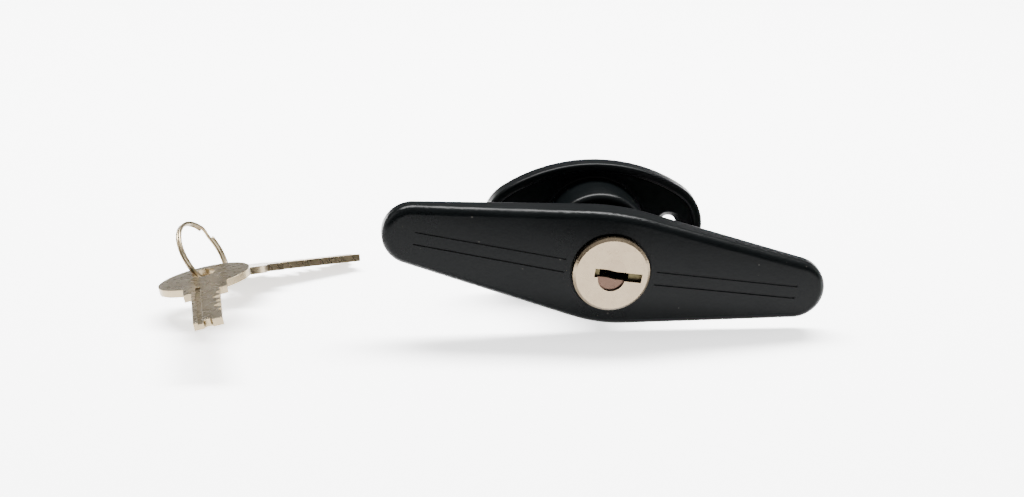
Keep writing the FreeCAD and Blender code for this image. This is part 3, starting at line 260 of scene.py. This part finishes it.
def cap_nickel():
    """Nickel with painted shade: dark brown where the dimple and the keyway lie below the face.
    """
    material, shader, tree = new_material("cap_nickel", (0.3, 0.27, 0.23), 1.0, 0.25)
    place = tree.nodes.new("ShaderNodeTexCoord")
    split = tree.nodes.new("ShaderNodeSeparateXYZ")
    tree.links.new(place.outputs["Object"], split.inputs["Vector"])
    flat = tree.nodes.new("ShaderNodeVectorMath")
    flat.operation = "MULTIPLY"
    flat.inputs[1].default_value = (1, 0, 1)
    tree.links.new(place.outputs["Object"], flat.inputs[0])
    away = tree.nodes.new("ShaderNodeVectorMath")
    away.operation = "LENGTH"
    tree.links.new(flat.outputs["Vector"], away.inputs[0])
    edge = [e * MM for e in RECESS_SHADE_EDGE]
    depths = [(d - FACE_AT) * MM for d in RECESS_SHADE_DEPTHS]
    # Painted shade: near the axis, the nickel turns dark brown where its surface lies deeper
    # below the face
    inner = ramp(tree, away.outputs["Value"], *edge, 1.0, 0.0)
    deep = ramp(tree, split.outputs["Y"], *depths, 0.0, 1.0)
    recess_shade_mask = product(tree, inner, deep)
    cloud = noise(tree, 300.0, 4.0)
    bare = blend(tree, cloud, (0.2, 0.158, 0.108), (0.155, 0.12, 0.08))
    recess_shade_colour = blend(tree, cloud, (0.062, 0.038, 0.028), (0.036, 0.023, 0.018))
    tree.links.new(blend(tree, recess_shade_mask, bare, recess_shade_colour), shader.inputs["Base Color"])
    fine = noise(tree, 900.0, 3.0)
    tree.links.new(ramp(tree, fine, 0.3, 0.7, 0.2, 0.3), shader.inputs["Roughness"])
    bump(tree, shader, fine, 0.02, 0.00006)
    return material


def rubber():
    material, shader, tree = new_material("seal_rubber", (0.015, 0.015, 0.015), 0.0, 0.6)
    cloud = noise(tree, 500.0, 4.0)
    base = blend(tree, cloud, (0.01, 0.01, 0.01), (0.03, 0.03, 0.032))
    tree.links.new(base, shader.inputs["Base Color"])
    bump(tree, shader, cloud, 0.1, 0.0002)
    return material


LOOKS = {
    "black_coat": coated_black(),
    "nickel": cap_nickel(),
    "plug_brass": metal(
        "plug_brass", (0.05, 0.042, 0.022), (0.028, 0.023, 0.013), (0.25, 0.4), 1200.0
    ),
    "wafer_brass": metal(
        "wafer_brass", (0.5, 0.38, 0.18), (0.36, 0.26, 0.11), (0.2, 0.35), 1500.0
    ),
    "zinc_steel": metal(
        "zinc_steel", (0.3, 0.305, 0.31), (0.2, 0.205, 0.215), (0.25, 0.42), 700.0
    ),
    "spring_steel": metal(
        "spring_steel", (0.3, 0.3, 0.31), (0.2, 0.2, 0.21), (0.25, 0.4), 900.0
    ),
    "seal_rubber": rubber(),
    "key_nickel": metal(
        "key_nickel",
        (0.25, 0.2, 0.125),
        (0.21, 0.168, 0.104),
        (0.26, 0.3),
        300.0,
        (1, 4, 1),
        (0.012, 0.004),
    ),
}


def dress_frame():
    slots = {s["node"]: s["material_slot"] for s in frame["record"]["subparts"]}
    for node, thing in frame["nodes"].items():
        look = LOOKS[slots[node]]
        for slot in thing.material_slots:
            slot.material = look
        if not thing.material_slots:
            thing.data.materials.append(look)


# Pieces
def round_section(radius, sides=6):
    turns = [2 * math.pi * k / sides for k in range(sides)]
    return [(math.cos(a) * radius, math.sin(a) * radius) for a in turns]


CORNER_POWER = 0.55


def flat_section(width, height, sides=12):
    """A flat wire's section with well rounded corners."""
    corners = []
    for k in range(sides):
        a = 2 * math.pi * (k + 0.5) / sides
        across, up = math.cos(a), math.sin(a)
        corners.append(
            (
                math.copysign(abs(across) ** CORNER_POWER, across) * width / 2,
                math.copysign(abs(up) ** CORNER_POWER, up) * height / 2,
            )
        )
    return corners


def wire(name, points, section, side):
    """A wire along a line of points, closed at its ends; side is the section's first axis."""
    mesh = bpy.data.meshes.new(name)
    build = bmesh.new()
    rings = []
    for i, point in enumerate(points):
        along = points[min(i + 1, len(points) - 1)] - points[max(i - 1, 0)]
        along.normalize()
        side = (side - along * side.dot(along)).normalized()
        up = along.cross(side)
        rings.append([build.verts.new(point + side * x + up * y) for x, y in section])
    sides = len(section)
    for first, last in zip(rings, rings[1:]):
        for k in range(sides):
            m = (k + 1) % sides
            build.faces.new((first[k], first[m], last[m], last[k]))
    build.faces.new(rings[0][::-1])
    build.faces.new(rings[-1])
    bmesh.ops.recalc_face_normals(build, faces=build.faces)
    build.to_mesh(mesh)
    build.free()
    mesh.polygons.foreach_set("use_smooth", [len(p.vertices) == 4 for p in mesh.polygons])
    made = bpy.data.objects.new(name, mesh)
    bpy.context.scene.collection.objects.link(made)
    return made


def stands_for(made, node, body, look):
    """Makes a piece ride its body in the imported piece's stead, in its look."""
    made.data.materials.clear()
    made.data.materials.append(LOOKS[look])
    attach(made, body)
    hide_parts(node)


COIL_WIRE = 0.09 * MM
COIL_RADIUS = 0.4 * MM
COIL_STEPS = 10
COIL_END_TURNS = 1.5
END_RISE = 2.1 * COIL_WIRE
WAFER_COUNT = 5
WAFER_SPRING_TURNS = 11
CATCH_SPRING_TURNS = 9


def coil_spring(node, turns):
    """A wound spring with closed end turns in place of its packed outer shape."""
    points = [v.co.copy() for v in frame["nodes"][node].data.vertices]
    middle = sum(points, Vector()) / len(points)
    far = max(points, key=lambda p: (p - middle).length) - middle
    ends = []
    for sign in (-1, 1):
        half = [p for p in points if (p - middle).dot(far) * sign > 0]
        ends.append(sum(half, Vector()) / len(half))
    along = (ends[1] - ends[0]).normalized()
    length = (ends[1] - ends[0]).length - 2 * COIL_WIRE
    side = along.orthogonal().normalized()
    other = along.cross(side)
    middle_rise = (length - 2 * COIL_END_TURNS * END_RISE) / (turns - 2 * COIL_END_TURNS)
    line = []
    for i in range(turns * COIL_STEPS + 1):
        turn = i / COIL_STEPS
        closed = min(turn, COIL_END_TURNS) + max(0.0, turn - (turns - COIL_END_TURNS))
        rise = closed * END_RISE + (turn - closed) * middle_rise
        a = 2 * math.pi * turn
        outward = side * math.cos(a) + other * math.sin(a)
        line.append(ends[0] + along * (COIL_WIRE + rise) + outward * COIL_RADIUS)
    made = wire(node + "_coil", line, round_section(COIL_WIRE), side)
    stands_for(made, node, "plug", "spring_steel")


# The key ring's wire, in millimetres and degrees
RING_RADIUS = 9.6
RING_WIRE = (0.98, 0.7)
RING_LEVEL = 0.38
RING_JOG = 24.0
RING_STEP = 4.0
FULL_TURN = 360.0


def split_ring():
    """Two turns of flat wire with the jog from one to the other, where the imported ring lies."""
    corners = np.array([v.co[:] for v in frame["nodes"]["key_ring"].data.vertices])
    middle = corners.mean(axis=0)
    axis = Vector(np.linalg.eigh(np.cov((corners - middle).T))[1][:, 0]).normalized()
    if axis.z < 0:
        axis.negate()
    start = Vector((1, 0, 1))
    start = (start - axis * start.dot(axis)).normalized()
    other = axis.cross(start)
    points = []
    total = 2 * FULL_TURN - RING_JOG
    steps = round(total / RING_STEP)
    for i in range(steps + 1):
        turn = total * i / steps
        share = min(max((turn - (FULL_TURN - RING_JOG)) / RING_JOG, 0.0), 1.0)
        level = RING_LEVEL * (2 * share * share * (3 - 2 * share) - 1)
        a = math.radians(turn)
        flat = (start * math.cos(a) + other * math.sin(a)) * RING_RADIUS + axis * level
        points.append(Vector(middle) + flat * MM)
    width, height = RING_WIRE
    made = wire("split_ring", points, flat_section(width * MM, height * MM), start)
    stands_for(made, "key_ring", "keys", "key_nickel")


KEY_BEVEL = 0.14 * MM
SHARP_EDGE = math.radians(35)
SHADE_TOGETHER = math.cos(SHARP_EDGE)
ON_CROWN = 0.98
SLIVER_AREA = 1e-10
SLIVER_SIZE = 4e-6
WELD = 2e-6
FLAT_ANGLE = math.radians(0.5)


def vertex_normals(build, exact):
    """The normals of the smooth places: the exact ones where known, else evened by area."""
    smooth = {}
    for vert in build.verts:
        total = sum((f.normal * f.calc_area() for f in vert.link_faces), Vector())
        known = exact(vert.co) if exact else None
        if known is not None and any(known.dot(f.normal) > ON_CROWN for f in vert.link_faces):
            smooth[vert] = known
        elif total.length > 0:
            total.normalize()
            if all(f.normal.dot(total) > SHADE_TOGETHER for f in vert.link_faces):
                smooth[vert] = total
    return smooth


def even_normals(build, exact=None):
    """A normal for each corner: the smooth place's own, else shared by area."""
    smooth = vertex_normals(build, exact)
    normals = []
    for face in build.faces:
        sliver = face.calc_area() < SLIVER_AREA
        for corner in face.loops:
            even = smooth.get(corner.vert)
            if even is not None and (sliver or even.dot(face.normal) > SHADE_TOGETHER):
                normals.append(even)
                continue
            total = Vector()
            for other in corner.vert.link_faces:
                if other.normal.dot(face.normal) > SHADE_TOGETHER:
                    total += other.normal * other.calc_area()
            normals.append(total.normalized() if total.length > 0 else face.normal.copy())
    return normals


def shade_smoothly(mesh, normals):
    mesh.polygons.foreach_set("use_smooth", [True] * len(mesh.polygons))
    mesh.normals_split_custom_set(normals)


def soft_edged(node, body, look, width):
    """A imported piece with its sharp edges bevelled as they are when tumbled."""
    source = frame["nodes"][node].data
    mesh = bpy.data.meshes.new(node + "_soft")
    mesh.from_pydata(
        [v.co.copy() for v in source.vertices], [], [list(f.vertices) for f in source.polygons]
    )
    build = bmesh.new()
    build.from_mesh(mesh)
    bmesh.ops.remove_doubles(build, verts=build.verts, dist=WELD)
    bmesh.ops.dissolve_limit(
        build, angle_limit=FLAT_ANGLE, verts=build.verts, edges=build.edges
    )
    paired = [e for e in build.edges if len(e.link_faces) == 2]
    sharp = [e for e in paired if e.calc_face_angle() > SHARP_EDGE]
    bmesh.ops.bevel(
        build,
        geom=sharp,
        offset=width,
        offset_type="OFFSET",
        segments=2,
        profile=0.5,
        affect="EDGES",
        clamp_overlap=True,
    )
    bmesh.ops.remove_doubles(build, verts=build.verts, dist=WELD / 2)
    bmesh.ops.triangulate(build, faces=build.faces)
    bmesh.ops.recalc_face_normals(build, faces=build.faces)
    normals = even_normals(build)
    build.to_mesh(mesh)
    build.free()
    shade_smoothly(mesh, normals)
    made = bpy.data.objects.new(node + "_soft", mesh)
    bpy.context.scene.collection.objects.link(made)
    stands_for(made, node, body, look)


def copy_of(node, name):
    """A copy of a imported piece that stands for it, so that its shading can be made true."""
    made = frame["nodes"][node].copy()
    made.data = frame["nodes"][node].data.copy()
    made.name = name
    for key in list(made.keys()):
        if key.startswith("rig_"):
            del made[key]
    bpy.context.scene.collection.objects.link(made)
    return made


# The bar's crowned front, as the part's source makes it, in millimetres
BAR_TURN = math.radians(8.7)
BAR_FRONT = 37.3
CROWN_RADIUS = 60.0
BAR_SWEEP = math.radians(6.0)
BEND_RADIUS = 45.0
ON_SURFACE = 0.02


def crown_at(x):
    """The crown's radius at a distance along the bar, and how fast it shrinks."""
    bend_x = BEND_RADIUS * math.sin(BAR_SWEEP)
    if abs(x) <= bend_x:
        fall = BEND_RADIUS - math.sqrt(BEND_RADIUS**2 - x * x)
        return CROWN_RADIUS - fall, -x / math.sqrt(BEND_RADIUS**2 - x * x)
    start = CROWN_RADIUS - BEND_RADIUS * (1 - math.cos(BAR_SWEEP))
    slope = math.tan(BAR_SWEEP)
    return start - (abs(x) - bend_x) * slope, -math.copysign(slope, x)


def crown_normal(point):
    """The true normal where a point lies on the crown, or None."""
    cos, sin = math.cos(BAR_TURN), math.sin(BAR_TURN)
    x = (point.x * cos - point.z * sin) / MM
    z = (point.x * sin + point.z * cos) / MM
    y = point.y / MM - (CROWN_RADIUS - BAR_FRONT)
    radius, slope = crown_at(x)
    if abs(math.hypot(y, z) - radius) > ON_SURFACE:
        return None
    local = Vector((-slope, y / radius, z / radius)).normalized()
    return Vector((local.x * cos + local.z * sin, local.y, -local.x * sin + local.z * cos))


def true_handle():
    """The handle without slivers and with exact normals on its crowned front."""
    handle = copy_of("t_handle", "handle_casting")
    build = bmesh.new()
    build.from_mesh(handle.data)
    bmesh.ops.remove_doubles(build, verts=build.verts, dist=SLIVER_SIZE)
    bmesh.ops.dissolve_degenerate(build, edges=build.edges, dist=SLIVER_SIZE)
    bmesh.ops.triangulate(build, faces=build.faces)
    build.normal_update()
    normals = even_normals(build, crown_normal)
    mesh = bpy.data.meshes.new("handle_casting")
    build.to_mesh(mesh)
    build.free()
    if "custom_normal" in mesh.attributes:
        mesh.attributes.remove(mesh.attributes["custom_normal"])
    shade_smoothly(mesh, normals)
    handle.data = mesh
    stands_for(handle, "t_handle", "handle", "black_coat")


make_camera()
make_studio()
dress_frame()
true_handle()
for number in range(WAFER_COUNT):
    coil_spring(f"wafer_spring_{number + 1}", WAFER_SPRING_TURNS)
coil_spring("catch_spring", CATCH_SPRING_TURNS)
split_ring()
for node in ("key_a", "key_b"):
    soft_edged(node, "keys", "key_nickel", KEY_BEVEL)
